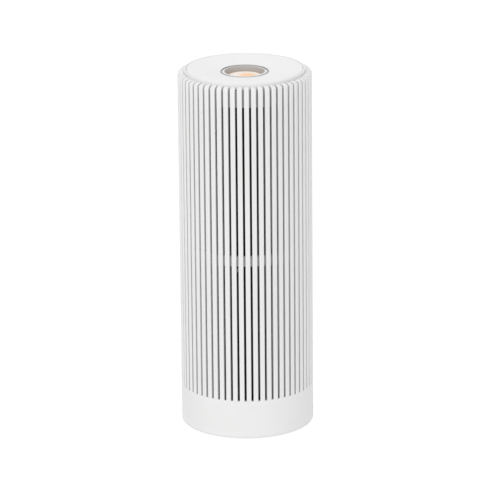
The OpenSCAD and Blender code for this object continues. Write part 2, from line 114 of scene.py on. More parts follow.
def weighted(piece):
    """Keep large faces flat beside their rounded edges."""
    modifier = piece.modifiers.new("flat_faces", "WEIGHTED_NORMAL")
    modifier.keep_sharp = True


def keep(node, material, width=0.0):
    """Give a CAD node its material, and round its sharp edges by a width in millimetres."""
    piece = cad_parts[node]
    piece.data.materials.clear()
    piece.data.materials.append(material)
    if width:
        modifier = piece.modifiers.new("soft_edges", "BEVEL")
        modifier.width = width * MM
        modifier.segments = 2
        modifier.limit_method = "ANGLE"
        modifier.angle_limit = math.radians(40)
        modifier.harden_normals = False


def rounded(outline, default=0.0, radii=None):
    """A closed outline with its corners turned into arcs. radii maps a corner's index to its radius."""
    radii = radii or {}
    result = []
    count = len(outline)
    for i, point in enumerate(outline):
        radius = radii.get(i, default)
        here = Vector(point)
        before = Vector(outline[i - 1]) - here
        after = Vector(outline[(i + 1) % count]) - here
        # An arc takes just under half of each side, so that two neighbouring ones never meet
        reach = min(before.length, after.length) * 0.49
        turn = before.angle(after) if before.length and after.length else math.pi
        if radius <= 0 or here.x < 1e-6 or turn > math.radians(172):
            result.append(tuple(here))
            continue
        cut = min(radius / math.tan(turn / 2), reach)
        radius = cut * math.tan(turn / 2)
        start = here + before.normalized() * cut
        end = here + after.normalized() * cut
        inward = (before.normalized() + after.normalized()).normalized()
        centre = here + inward * (radius / math.sin(turn / 2))
        sweep = math.pi - turn
        steps = max(2, int(round(sweep / math.radians(18))))
        first = start - centre
        side = 1 if first.x * (end - centre).y - first.y * (end - centre).x > 0 else -1
        for k in range(steps + 1):
            result.append(tuple(centre + Matrix.Rotation(side * sweep * k / steps, 2) @ first))
    return result


def revolve_mesh(name, outline, segments=SEGMENTS, wobble=None):
    """Closed solid turned from a closed outline in millimetres. wobble(angle, r, z) may move a radius."""
    points = [Vector(p) for p in outline]
    lengths = [0.0]
    for i in range(len(points)):
        lengths.append(lengths[-1] + (points[(i + 1) % len(points)] - points[i]).length)
    mesh = bmesh.new()
    uv_layer = mesh.loops.layers.uv.new("surface")
    poles = {}
    rings = []
    for s in range(segments):
        angle = 2 * math.pi * s / segments
        ring = []
        for i, p in enumerate(points):
            if p.x < 1e-6:
                if i not in poles:
                    poles[i] = mesh.verts.new((0, 0, p.y * MM))
                ring.append(poles[i])
            else:
                r = p.x + (wobble(angle, p.x, p.y) if wobble else 0.0)
                ring.append(mesh.verts.new((r * MM * math.cos(angle), r * MM * math.sin(angle), p.y * MM)))
        rings.append(ring)
    widest = max(p.x for p in points)
    for s in range(segments):
        a, b = rings[s], rings[(s + 1) % segments]
        for i in range(len(points)):
            j = (i + 1) % len(points)
            corners = [(a[i], s, i), (b[i], s + 1, i), (b[j], s + 1, i + 1), (a[j], s, i + 1)]
            kept = []
            for corner in corners:
                if corner[0] not in [k[0] for k in kept]:
                    kept.append(corner)
            if len(kept) < 3:
                continue
            face = mesh.faces.new([k[0] for k in kept])
            for loop, (_, around, along) in zip(face.loops, kept):
                loop[uv_layer].uv = (2 * math.pi * widest * MM * around / segments, lengths[along] * MM)
    bmesh.ops.recalc_face_normals(mesh, faces=mesh.faces)
    data = bpy.data.meshes.new(name)
    mesh.to_mesh(data)
    mesh.free()
    return data


def turned(name, outline, body, material, replaces, radius, radii):
    """A round piece with softened corners."""
    mesh = revolve_mesh(name, rounded(outline, radius, radii))
    return finish_mesh(name, mesh, body, material, replaces)


# ---------------------------------------------------------------- material helpers

class Nodes:
    """A short way to write a node material."""

    def __init__(self, name):
        self.material = bpy.data.materials.new(name)
        self.material.use_nodes = True
        self.tree = self.material.node_tree
        self.shader = self.tree.nodes["Principled BSDF"]
        self.coordinates = self.tree.nodes.new("ShaderNodeTexCoord")

    def add(self, kind, **settings):
        node = self.tree.nodes.new(kind)
        for key, value in settings.items():
            setattr(node, key, value)
        return node

    def link(self, source, target):
        self.tree.links.new(source, target)

    def place(self, scale):
        mapping = self.add("ShaderNodeMapping")
        self.link(self.coordinates.outputs["Object"], mapping.inputs["Vector"])
        mapping.inputs["Scale"].default_value = scale
        return mapping.outputs["Vector"]

    def noise(self, scale, detail, roughness, vector=None):
        node = self.add("ShaderNodeTexNoise")
        self.link(vector or self.coordinates.outputs["Object"], node.inputs["Vector"])
        node.inputs["Scale"].default_value = scale
        node.inputs["Detail"].default_value = detail
        node.inputs["Roughness"].default_value = roughness
        return node.outputs["Fac"]

    def math(self, operation, a, b=None):
        node = self.add("ShaderNodeMath", operation=operation)
        for i, value in enumerate((a, b)):
            if value is None:
                continue
            if isinstance(value, (int, float)):
                node.inputs[i].default_value = value
            else:
                self.link(value, node.inputs[i])
        return node.outputs[0]

    def span(self, value, low, high, new_low, new_high):
        """Stretch a value's range from low..high to new_low..new_high."""
        node = self.add("ShaderNodeMapRange")
        self.link(value, node.inputs["Value"])
        ends = {"From Min": low, "From Max": high, "To Min": new_low, "To Max": new_high}
        for key, number in ends.items():
            node.inputs[key].default_value = number
        return node.outputs["Result"]

    def mix(self, factor, a, b):
        node = self.add("ShaderNodeMix", data_type="RGBA", blend_type="MIX")
        for socket, value in ((node.inputs[0], factor), (node.inputs[6], a), (node.inputs[7], b)):
            if isinstance(value, (int, float)):
                socket.default_value = value
            elif isinstance(value, tuple):
                socket.default_value = (*value, 1.0)
            else:
                self.link(value, socket)
        return node.outputs[2]

    def bump(self, height, strength, distance):
        node = self.add("ShaderNodeBump")
        node.inputs["Strength"].default_value = strength
        node.inputs["Distance"].default_value = distance
        self.link(height, node.inputs["Height"])
        return node.outputs["Normal"]

    def set(self, **values):
        """Set shader sockets by short names and return the material."""
        names = {"color": "Base Color", "rough": "Roughness", "metal": "Metallic", "normal": "Normal",
                 "glow": "Emission Color", "glow_strength": "Emission Strength", "sheen": "Sheen Weight",
                 "coat": "Coat Weight", "coat_rough": "Coat Roughness"}
        for key, value in values.items():
            socket = self.shader.inputs[names[key]]
            if isinstance(value, (int, float)):
                socket.default_value = value
            elif isinstance(value, tuple):
                socket.default_value = (*value, 1.0)
            else:
                self.link(value, socket)
        return self.material


def scaled(color, factor):
    return tuple(min(1.0, c * factor) for c in color)


def moulded_plastic(name, color, rough, grain=2600.0, tone=0.025, coat=0.0, recess=None, edge_highlight=0.0):
    """Moulded plastic: spark-eroded grain, a little flow shading, uneven gloss, and painted highlights on
    rounded edges.

    recess is (outer radius, inner radius, tone, low, high): painted shade, so faces nearer the axis are
    greyer where shade falls in the recess, up to where the piece opens between the two heights.
    """
    n = Nodes(name)
    flow = n.noise(9.0, 4.0, 0.55)
    fine = n.noise(grain, 2.0, 0.6)
    patches = n.noise(34.0, 3.0, 0.6)
    base = n.mix(n.span(flow, 0.3, 0.7, 0.0, 1.0), scaled(color, 1.0 - tone), scaled(color, 1.0 + tone * 0.4))
    if edge_highlight:
        # Painted highlight: rounded edges, where Pointiness is high, are paler.
        edges = n.add("ShaderNodeNewGeometry").outputs["Pointiness"]
        base = n.mix(n.span(edges, 0.51, 0.56, 0.0, 1.0), base, scaled(color, 1.0 + edge_highlight))
    # Painted shade: faces deep in the recess are greyed.
    if recess:
        outer, inner, depth_tone, open_low, open_high = recess
        split = n.add("ShaderNodeSeparateXYZ")
        n.link(n.coordinates.outputs["Object"], split.inputs["Vector"])
        reach = n.math("SQRT", n.math("ADD", n.math("MULTIPLY", split.outputs["X"], split.outputs["X"]),
                                      n.math("MULTIPLY", split.outputs["Y"], split.outputs["Y"])))
        hidden = n.math("MULTIPLY", n.span(reach, inner * MM, outer * MM, 1.0, 0.0),
                        n.span(split.outputs["Z"], open_low * MM, open_high * MM, 1.0, 0.0))
        base = n.mix(hidden, base, scaled(color, depth_tone))
        # Darker towards the bottom, over the lowest 5 mm.
        base = n.mix(n.span(split.outputs["Z"], 1.0 * MM, 5.0 * MM, 0.7, 0.0), base, scaled(color, 0.8))
    gloss = n.span(patches, 0.25, 0.75, rough - 0.05, rough + 0.06)
    return n.set(color=base, rough=gloss, coat=coat, normal=n.bump(fine, 0.35, 0.00002))


def rubber(name, color):
    n = Nodes(name)
    fine = n.noise(1500.0, 3.0, 0.65)
    dust = n.noise(60.0, 4.0, 0.7)
    base = n.mix(n.span(dust, 0.45, 0.8, 0.0, 0.5), color, scaled(color, 1.7))
    return n.set(color=base, rough=n.span(dust, 0.2, 0.8, 0.65, 0.85),
                 normal=n.bump(fine, 0.5, 0.00006))


def foam(name, color):
    n = Nodes(name)
    cells = n.add("ShaderNodeTexVoronoi")
    n.link(n.coordinates.outputs["Object"], cells.inputs["Vector"])
    cells.inputs["Scale"].default_value = 1100.0
    pores = n.span(cells.outputs["Distance"], 0.0, 0.6, 0.0, 1.0)
    base = n.mix(pores, scaled(color, 0.5), scaled(color, 1.5))
    return n.set(color=base, rough=0.92, normal=n.bump(pores, 0.8, 0.0002))


def metal(name, color, rough, brushed=(1.0, 1.0, 1.0), scratch=0.2):
    """Bare or plated metal. brushed stretches its fine lines, with a small number along them."""
    n = Nodes(name)
    lines = n.noise(900.0, 3.0, 0.7, n.place(brushed))
    smear = n.noise(40.0, 3.0, 0.5)
    base = n.mix(n.span(lines, 0.3, 0.7, 0.0, 1.0), scaled(color, 0.88), scaled(color, 1.08))
    gloss = n.span(smear, 0.25, 0.75, rough - 0.07, rough + 0.1)
    return n.set(color=base, metal=1.0, rough=gloss, normal=n.bump(lines, scratch, 0.00001))


def woven(name, color, thread, sheen=0.25):
    """Plain weave on the piece's own surface coordinates. thread is a thread's pitch, in metres."""
    n = Nodes(name)
    turns = math.pi / thread
    split = n.add("ShaderNodeSeparateXYZ")
    n.link(n.coordinates.outputs["UV"], split.inputs["Vector"])
    across = n.math("MULTIPLY", split.outputs["X"], turns)
    along = n.math("MULTIPLY", split.outputs["Y"], turns)
    warp = n.math("ABSOLUTE", n.math("SINE", across))
    weft = n.math("ABSOLUTE", n.math("SINE", along))
    checker = n.add("ShaderNodeTexChecker")
    n.link(n.coordinates.outputs["UV"], checker.inputs["Vector"])
    checker.inputs["Scale"].default_value = 1.0 / thread
    over = n.math("MULTIPLY", checker.outputs["Fac"], n.math("SUBTRACT", warp, weft))
    height = n.math("ADD", weft, over)
    fibre = n.noise(5200.0, 3.0, 0.7)
    height = n.math("ADD", height, n.math("MULTIPLY", fibre, 0.25))
    tone = n.noise(55.0, 3.0, 0.5)
    base = n.mix(n.span(height, 0.1, 1.1, 0.0, 1.0), scaled(color, 0.45), scaled(color, 1.35))
    base = n.mix(n.span(tone, 0.3, 0.7, 0.0, 0.3), base, scaled(color, 1.6))
    return n.set(color=base, rough=0.88, sheen=sheen, normal=n.bump(height, 0.7, 0.00018))


def felt(name, color):
    n = Nodes(name)
    fibres = n.noise(900.0, 6.0, 0.8, n.place((1.0, 1.0, 0.25)))
    crumbs = n.add("ShaderNodeTexVoronoi")
    n.link(n.coordinates.outputs["Object"], crumbs.inputs["Vector"])
    crumbs.inputs["Scale"].default_value = 620.0
    grains = n.span(crumbs.outputs["Distance"], 0.0, 0.5, 1.0, 0.0)
    height = n.math("ADD", fibres, grains)
    base = n.mix(n.span(height, 0.5, 1.5, 0.0, 1.0), scaled(color, 0.5), scaled(color, 2.0))
    return n.set(color=base, rough=0.93, sheen=0.2, normal=n.bump(height, 0.8, 0.0004))


def paper(name, color):
    n = Nodes(name)
    fibres = n.noise(1300.0, 5.0, 0.75, n.place((1.0, 1.0, 0.4)))
    stain = n.noise(26.0, 3.0, 0.5)
    base = n.mix(n.span(fibres, 0.3, 0.7, 0.0, 1.0), scaled(color, 0.93), color)
    base = n.mix(n.span(stain, 0.5, 0.8, 0.0, 0.3), base, scaled(color, 0.85))
    return n.set(color=base, rough=0.85, normal=n.bump(fibres, 0.5, 0.00008))


def circuit(name, color, trace):
    """Solder mask with faint copper tracks under it."""
    n = Nodes(name)
    tracks = n.add("ShaderNodeTexBrick")
    n.link(n.coordinates.outputs["Object"], tracks.inputs["Vector"])
    tracks.inputs["Scale"].default_value = 170.0
    tracks.inputs["Mortar Size"].default_value = 0.05
    lines = tracks.outputs["Fac"]
    gloss = n.noise(70.0, 2.0, 0.5)
    return n.set(color=n.mix(lines, color, trace), rough=n.span(gloss, 0.2, 0.8, 0.3, 0.45), coat=0.3,
                 coat_rough=0.2, normal=n.bump(lines, 0.4, 0.00005))


def ribbon_wire(name, color):
    """Flat cable with parallel cores."""
    n = Nodes(name)
    wave = n.add("ShaderNodeTexWave", wave_type="BANDS", bands_direction="X")
    turned_space = n.add("ShaderNodeMapping")
    turned_space.inputs["Rotation"].default_value = (0, 0, math.radians(-30))
    n.link(n.coordinates.outputs["Object"], turned_space.inputs["Vector"])
    n.link(turned_space.outputs["Vector"], wave.inputs["Vector"])
    wave.inputs["Scale"].default_value = 260.0
    cores = wave.outputs["Fac"]
    return n.set(color=n.mix(cores, scaled(color, 0.72), color), rough=0.5,
                 normal=n.bump(cores, 0.6, 0.0002))


def lit_diffuser(name, color, light, strength, spot):
    """Milky plastic with light behind it. spot is (x, y, radius, colour, light) of a warmer lamp."""
    n = Nodes(name)
    speck = n.noise(1800.0, 2.0, 0.5)
    cloud = n.noise(120.0, 2.0, 0.5)
    base = n.mix(n.span(cloud, 0.3, 0.7, 0.0, 1.0), scaled(color, 0.97), color)
    light = n.mix(n.span(cloud, 0.3, 0.7, 0.0, 1.0), scaled(light, 0.96), light)
    x, y, radius, warm_color, warm_light = spot
    split = n.add("ShaderNodeSeparateXYZ")
    n.link(n.coordinates.outputs["Object"], split.inputs["Vector"])
    dx = n.math("SUBTRACT", split.outputs["X"], x)
    dy = n.math("SUBTRACT", split.outputs["Y"], y)
    distance = n.math("SQRT", n.math("ADD", n.math("MULTIPLY", dx, dx), n.math("MULTIPLY", dy, dy)))
    near = n.span(distance, radius * 0.6, radius * 1.25, 1.0, 0.0)
    light = n.mix(near, light, warm_light)
    base = n.mix(near, base, warm_color)
    return n.set(color=base, rough=0.35, glow=light, glow_strength=strength,
                 normal=n.bump(speck, 0.2, 0.00001))


# Painted highlight on the sleeve's rounded rib edges.
# Painted shade in the sleeve's slots and recessed faces.
WHITE = moulded_plastic("white_shell_plastic", (0.835, 0.835, 0.832), rough=0.40,
                        recess=(BODY_R - 0.4, RIB_IN + 1, 0.6, LEDGE - 1, SHOULDER - 0.6), edge_highlight=0.12)
WHITE_LID = moulded_plastic("white_lid_plastic", (0.86, 0.86, 0.857), rough=0.42)
# Painted light: the top plate is the same white plastic made paler, standing in for brighter light from
# above.
WHITE_TOP_LIT = moulded_plastic("white_top_plastic_painted_light", (0.90, 0.90, 0.897), rough=0.46, grain=3200.0)
INNER = moulded_plastic("inner_white_plastic", (0.76, 0.76, 0.75), rough=0.5, tone=0.04)
# Painted shade and painted light: darkened for the shade deep in the outlet, and warmed for the button's glow
# falling on it.
THROAT_SHADED_WARM = moulded_plastic("throat_plastic", (0.62, 0.575, 0.54), rough=0.45)
NETTING = moulded_plastic("netting_plastic", (0.7, 0.7, 0.69), rough=0.55, tone=0.05)
BLACK = moulded_plastic("black_plastic", (0.025, 0.025, 0.027), rough=0.5, tone=0.2)
FAN = moulded_plastic("fan_plastic", (0.07, 0.07, 0.075), rough=0.45, tone=0.15, coat=0.1)
RUBBER = rubber("foot_rubber", (0.035, 0.035, 0.036))
FOAM = foam("seal_foam", (0.06, 0.06, 0.062))
STEEL = metal("plain_steel", (0.5, 0.51, 0.53), rough=0.38, brushed=(1.0, 0.08, 1.0))
ZINC = metal("zinc_plated_steel", (0.62, 0.62, 0.64), rough=0.3)
GROUND = metal("ground_steel", (0.7, 0.71, 0.73), rough=0.16, brushed=(1.0, 1.0, 0.1), scratch=0.1)
TRIM = metal("satin_trim", (0.5, 0.5, 0.5), rough=0.42)
BRASS = metal("plated_contacts", (0.83, 0.62, 0.28), rough=0.25)
COPPER = metal("enamelled_copper", (0.72, 0.3, 0.12), rough=0.3, brushed=(0.2, 0.2, 4.0), scratch=0.6)
FERRITE = metal("ferrite", (0.11, 0.11, 0.12), rough=0.6)
CLOTH = woven("charcoal_cloth", (0.035, 0.035, 0.038), thread=0.0011)
TAPE = woven("closure_tape", (0.02, 0.02, 0.021), thread=0.0007, sheen=0.1)
TAB = woven("tab_ribbon", (0.1, 0.1, 0.105), thread=0.0009)
CARBON = felt("carbon_felt", (0.03, 0.03, 0.031))
PAPER = paper("filter_paper", (0.85, 0.84, 0.79))
BOARD = circuit("green_board", (0.02, 0.17, 0.08), (0.05, 0.3, 0.14))
WHITE_BOARD = circuit("white_board", (0.82, 0.82, 0.79), (0.7, 0.7, 0.66))
WIRE = ribbon_wire("ribbon_cable", (0.75, 0.75, 0.73))
GLOW = lit_diffuser("lit_button", (0.62, 0.575, 0.545), (1.0, 0.86, 0.75), strength=0.34,
                    spot=(0.003, 0.0, 0.0095, (0.64, 0.42, 0.26), (0.98, 0.52, 0.24)))
# Painted shade: the lip's inner edge, where it drops into the throat, is greyer.
LIP = moulded_plastic("lip_plastic", (0.84, 0.835, 0.82), rough=0.4,
                      recess=(THROAT_R + 0.35, THROAT_R + 0.1, 0.68, HOLE_Z - 0.35, HOLE_Z))


# ---------------------------------------------------------------- sleeve

def sleeve_mesh():
    """The ribbed sleeve as one closed mesh: slots with parallel walls, and rounded rib edges.

    Its section is followed round the axis. Between slots it is the full section; across a slot it
    is three separate ones: the base band, the stiffening hoop and the top ring.
    """
    soft = 0.75
    soft_steps = 3
    half = SLOT_W / 2
    shoulder_w, shoulder_h = 5.4, 2.8
    shoulder_steps = 6
    foot_round = 2.0
    foot_steps = 4
    band_row = 34.0
    # Share of the softened width that each line beside a slot lies at, from 0 at the slot's wall to 1
    shares = [1 - math.cos(math.pi / 2 * k / soft_steps) for k in range(soft_steps + 1)]

    # Every section point: name -> (radius, height, outward normal when the slots round it)
    points = {}
    below = ["in_foot"]
    points["in_foot"] = (BAND_IN, SLEEVE_FOOT, None)
    for k in range(foot_steps + 1):
        angle = -math.pi / 2 + math.pi / 2 * k / foot_steps
        name = f"foot{k}"
        points[name] = (BODY_R - foot_round + foot_round * math.cos(angle),
                        SLEEVE_FOOT + foot_round + foot_round * math.sin(angle), None)
        below.append(name)
    for name, z in (("band_a", INLET_Z), ("band_b", band_row)):
        points[name] = (BODY_R, z, (1, 0))
        below.append(name)
    for k, share in enumerate(reversed(shares)):
        points[f"end{k}"] = (BODY_R, BAND_TOP - soft * share, (1, 0))
        below.append(f"end{k}")
    above = []
    for name, z in (("rise_a", HOOP[0]), ("rise_b", HOOP[1]), ("rise_c", RING_FOOT)):
        points[name] = (BODY_R, z, (1, 0))
        above.append(name)
    for k in range(shoulder_steps + 1):
        angle = math.pi / 2 * k / shoulder_steps
        slope = math.atan2(shoulder_w * math.sin(angle), shoulder_h * math.cos(angle))
        points[f"top{k}"] = (BODY_R - shoulder_w + shoulder_w * math.cos(angle),
                             SHOULDER - shoulder_h + shoulder_h * math.sin(angle),
                             (math.cos(slope), math.sin(slope)))
        above.append(f"top{k}")
    points["lip"] = (OPENING_R, SHOULDER, (0, 1))
    above.append("lip")
    plain = {
        "lip_foot": (OPENING_R, LEDGE), "ring_top": (RING_IN, LEDGE), "ring_low": (RING_IN, RING_FOOT),
        "ring_back": (RIB_IN, RING_FOOT), "hoop_top": (RIB_IN, HOOP[1]), "hoop_in_top": (HOOP_IN, HOOP[1]),
        "hoop_in_low": (HOOP_IN, HOOP[0]), "hoop_low": (RIB_IN, HOOP[0]), "slot_floor": (RIB_IN, BAND_TOP),
        "hoop_out_top": (HOOP_OUT, HOOP[1]), "hoop_out_low": (HOOP_OUT, HOOP[0]),
        "band_step": (RIB_IN, BAND_TOP - 2), "band_slope": (BAND_IN, BAND_TOP - 4.5),
        "flange_top": (BAND_IN, FLANGE[1]), "flange_in_top": (FLANGE_IN, FLANGE[1]),
        "flange_in_low": (FLANGE_IN, FLANGE[0]), "flange_low": (BAND_IN, FLANGE[0]),
        "slot_ledge": (RIB_IN, LEDGE),
    }
    for name, (r, z) in plain.items():
        points[name] = (r, z, None)
    inside_low = ["band_step", "band_slope", "flange_top", "flange_in_top", "flange_in_low", "flange_low"]
    full = below + above + ["lip_foot", "ring_top", "ring_low", "ring_back", "hoop_top", "hoop_in_top",
                            "hoop_in_low", "hoop_low", "slot_floor"] + inside_low
    band = below + ["slot_floor"] + inside_low
    hoop = ["hoop_out_top", "hoop_top", "hoop_in_top", "hoop_in_low", "hoop_low", "hoop_out_low"]
    ring = ["slot_ledge", "lip_foot", "ring_top", "ring_low", "ring_back"]
    wall = [f"end{soft_steps}"] + above + ["lip_foot", "slot_ledge", "ring_back", "hoop_top", "hoop_out_top",
                                           "hoop_out_low", "hoop_low", "slot_floor"]

    def softening(lateral, z):
        """How far a rib's rounded edge falls away at this distance from the slot."""
        across = max(0.0, lateral - half)
        distance = math.hypot(across, BAND_TOP - z) if z < BAND_TOP else across
        if distance >= soft:
            return 0.0
        return soft - math.sqrt(max(0.0, soft ** 2 - (soft - distance) ** 2))

    pitch = 2 * math.pi / SLOTS
    edge_laterals = [half + soft * share for share in shares]
    lines = []  # (kind, slot index, distance from the slot's middle, or share of the rib for a middle line)
    for i in range(SLOTS):
        lines.append(("slot", i, 0.0))
        lines += [("edge", i, lateral) for lateral in edge_laterals]
        lines += [("middle", i, 1 / 3), ("middle", i, 2 / 3)]
        lines += [("edge", i + 1, -lateral) for lateral in reversed(edge_laterals)]
    per_sector = 3 + 2 * len(edge_laterals)

    def place(line, name):
        """Where a section point lies on a line, in metres. A middle line is past all softening."""
        kind, i, value = line
        r, z, normal = points[name]
        slot_angle = (i + 0.5) * pitch
        lateral = half + 10 if kind == "middle" else abs(value)
        if normal and name not in ("band_a", "band_b"):
            fall = softening(lateral, z)
            r, z = r - normal[0] * fall, z - normal[1] * fall
        if kind == "middle":
            inset = math.asin(edge_laterals[-1] / r)
            angle = slot_angle + inset + (pitch - 2 * inset) * value
        else:
            angle = slot_angle + math.asin(value / r)
        return (r * MM * math.cos(angle), r * MM * math.sin(angle), z * MM)

    mesh = bmesh.new()
    made = {}

    def vertex(index, name):
        index %= len(lines)
        if (index, name) not in made:
            made[(index, name)] = mesh.verts.new(place(lines[index], name))
        return made[(index, name)]

    def strip(index, loop):
        """Faces between a line and the next one, all round a closed section."""
        for a, b in zip(loop, loop[1:] + loop[:1]):
            mesh.faces.new([vertex(index, a), vertex(index + 1, a), vertex(index + 1, b), vertex(index, b)])

    for i in range(SLOTS):
        start = i * per_sector
        for section in (band, hoop, ring):
            strip(start, section)
        for k in range(1, per_sector - 1):
            strip(start + k, full)
        for section in (band, hoop, ring):
            strip(start + per_sector - 1, section)
        mesh.faces.new([vertex(start + 1, name) for name in wall])
        mesh.faces.new([vertex(start + per_sector - 1, name) for name in reversed(wall)])
    bmesh.ops.recalc_face_normals(mesh, faces=mesh.faces)
    data = bpy.data.meshes.new("ribbed_sleeve")
    mesh.to_mesh(data)
    mesh.free()
    return data


def cut(piece, cutter_mesh):
    """Take a cutter's volume out of a piece for good."""
    cutter = bpy.data.objects.new("cutter", cutter_mesh)
    bpy.context.scene.collection.objects.link(cutter)
    modifier = piece.modifiers.new("cut", "BOOLEAN")
    modifier.object = cutter
    modifier.operation = "DIFFERENCE"
    modifier.solver = "EXACT"
    bpy.context.view_layer.update()
    evaluated = piece.evaluated_get(bpy.context.evaluated_depsgraph_get())
    result = bpy.data.meshes.new_from_object(evaluated)
    piece.modifiers.remove(modifier)
    piece.data = result
    bpy.data.objects.remove(cutter)


def inlet_mesh(name, outline):
    """Turn an outline about the power inlet's own axis. Its heights run outwards from INLET_Y."""
    mesh = revolve_mesh(name, outline, 64)
    turn = Matrix.Rotation(-math.pi / 2, 4, "X")
    mesh.transform(Matrix.Translation((0, INLET_Y * MM, INLET_Z * MM)) @ turn)
    return mesh


def build_sleeve():
    piece = finish_mesh("ribbed_sleeve", sleeve_mesh(), "housing", WHITE, ["sleeve"])
    mouth_r = INLET_R + 1.2
    inside, mouth_foot, mouth, outside = -6, 7.3, 8.5, 12
    well = [(0, inside), (INLET_R, inside), (INLET_R, mouth_foot), (mouth_r, mouth), (mouth_r, outside),
            (0, outside)]
    cut(piece, inlet_mesh("well", well))
    for polygon in piece.data.polygons:
        polygon.use_smooth = True
    piece.data.set_sharp_from_angle(angle=math.radians(32))
    weighted(piece)
    collar_r, collar_foot, collar_top = 8.5, -0.2, 6.0
    collar = [(INLET_R, collar_foot), (collar_r, collar_foot), (collar_r, collar_top), (INLET_R, collar_top)]
    finish_mesh("inlet_collar", inlet_mesh("inlet_collar", rounded(collar, 0.4)), "housing",
                WHITE)


# ---------------------------------------------------------------- housing

def build_housing():
    build_sleeve()
    keep("base_plate", INNER, 0.3)
    keep("feet", RUBBER, 0.35)
    keep("base_screws", ZINC, 0.12)
    keep("ballast_plate", STEEL, 0.4)
    keep("power_board", BOARD, 0.1)
    keep("dc_jack", BLACK, 0.25)
    keep("filter_deck", INNER, 0.3)
    keep("deck_screws", ZINC, 0.12)
    keep("riser_cable", WIRE, 0.1)
    keep("contact_block", BLACK, 0.2)
    keep("contact_pads", BRASS, 0.08)


# ---------------------------------------------------------------- cartridge

def build_cartridge():
    wrap_low, wrap_high = foot_of("prefilter_wrap"), top_of("prefilter_wrap")
    wrap_r = radius_of("prefilter_wrap")
    cloth_t = 1.2
    pleats = 64
    pleat_sag, slack = 0.22, 0.05

    def ripple(angle, r, z):
        """The cloth lies on the pleats behind it and shows them as shallow ridges."""
        if r < wrap_r - 0.5:
            return 0.0
        return -pleat_sag * (0.5 - 0.5 * math.cos(pleats * angle)) + slack * math.sin(7 * angle + 0.09 * z)

    steps = 24
    outside = [(wrap_r, wrap_low + (wrap_high - wrap_low) * k / steps) for k in range(steps + 1)]
    outline = outside + [(wrap_r - cloth_t, wrap_high), (wrap_r - cloth_t, wrap_low)]
    mesh = revolve_mesh("cloth_wrap", outline, pleats * 8, ripple)
    cloth = finish_mesh("cloth_wrap", mesh, "cartridge", CLOTH, ["prefilter_wrap"], 50)
    cap_r = radius_of("filter_top_cap")
    high = top_of("filter_top_cap")
    low = foot_of("filter_bottom_cap")
    cap_in, wall, deep, plate = 38.0, 0.8, 6, 2
    out_r = cap_r - wall
    in_r = cap_in + wall
    turned("cartridge_top_cap",
           [(cap_in, high - deep), (cap_in, high), (cap_r, high), (cap_r, high - deep),
            (out_r, high - deep), (out_r, high - plate), (in_r, high - plate), (in_r, high - deep)],
           "cartridge", INNER, ["filter_top_cap"], 0.25, {1: 0.8, 2: 1.2})
    turned("cartridge_bottom_cap",
           [(0, low), (cap_r, low), (cap_r, low + deep), (out_r, low + deep), (out_r, low + plate),
            (in_r, low + plate), (in_r, low + deep), (cap_in, low + deep), (cap_in, low + plate),
            (0, low + plate)],
           "cartridge", INNER, ["filter_bottom_cap"], 0.25, {1: 1.2})
    keep("filter_core", NETTING, 0.2)
    keep("carbon_liner", CARBON)
    keep("pleated_media", PAPER)
    keep("wrap_closure", TAPE)
    keep("wrap_snap", INNER, 0.2)
    keep("filter_seal", FOAM, 0.4)
    keep("pull_tab", TAB, 0.15)
    keep("tab_rivets", ZINC, 0.2)


# ---------------------------------------------------------------- lid module

def build_lid():
    groove_r = LID_R - 2.4
    duct_hole_r, wall_r, seat_r = 36.2, 62.0, 58.5
    seat = LID_TOP - 3.0
    floor_low = foot_of("lid_shell")
    floor_top = floor_low + 2.4
    rim_foot = LEDGE + 0.4
    rim_r = LID_R + 0.2
    turned("lid_rim",
           [(duct_hole_r, floor_low), (wall_r, floor_low), (wall_r, rim_foot), (rim_r, rim_foot),
            (rim_r, LID_TOP), (groove_r, LID_TOP), (groove_r, seat), (seat_r, seat), (seat_r, floor_top),
            (duct_hole_r, floor_top)],
           "lid_module", WHITE_LID, ["lid_shell"], 0.25, {1: 0.6, 4: 2.2, 5: 0.35})
    turned("dished_plate",
           [(HOLE_R + 0.1, HOLE_Z - 2.4), (seat_r - 0.5, seat), (PLATE_R, seat), (PLATE_R, LID_TOP),
            (HOLE_R + 0.1, HOLE_Z)],
           "lid_module", WHITE_TOP_LIT, ["top_plate"], 0.2, {3: 0.5, 4: 0.3})
    inner = HOLE_R - 1.4
    turned("outlet_trim",
           [(inner, HOLE_Z - 2.4), (HOLE_R, HOLE_Z - 2.4), (HOLE_R, HOLE_Z + 0.4), (inner, HOLE_Z + 0.4)],
           "lid_module", TRIM, ["trim_ring"], 0.2, {2: 0.35, 3: 0.35})
    turned("outlet_lip",
           [(THROAT_R, HOLE_Z - 2.8), (inner - 0.1, HOLE_Z - 2.8), (inner - 0.1, HOLE_Z - 0.6),
            (THROAT_R, HOLE_Z + 0.1)],
           "lid_module", LIP, ["light_ring"], 0.2, {2: 0.1, 3: 0.35})
    keep("outlet_throat", THROAT_SHADED_WARM)
    keep("fan_duct", INNER, 0.3)
    keep("inlet_guard", INNER, 0.3)
    keep("vane_hub", THROAT_SHADED_WARM, 0.2)
    keep("motor_board", BOARD)
    keep("motor_core", STEEL)
    keep("motor_windings", COPPER, 0.3)
    keep("bearing_lower", GROUND, 0.1)
    keep("bearing_upper", GROUND, 0.1)
    keep("control_board", BOARD)
    keep("air_sensor", BLACK, 0.2)
    keep("light_board", WHITE_BOARD)
    keep("button_switch", BLACK, 0.1)
    keep("lid_screws", ZINC, 0.12)
    keep("fan_screws", ZINC, 0.12)
    keep("lid_seal", FOAM, 0.3)
    keep("lid_contacts", BRASS, 0.05)
    keep("button_spring", GROUND)


def build_fan():
    keep("impeller", FAN, 0.15)
    keep("rotor_magnet", FERRITE, 0.15)
    keep("motor_shaft", GROUND, 0.1)


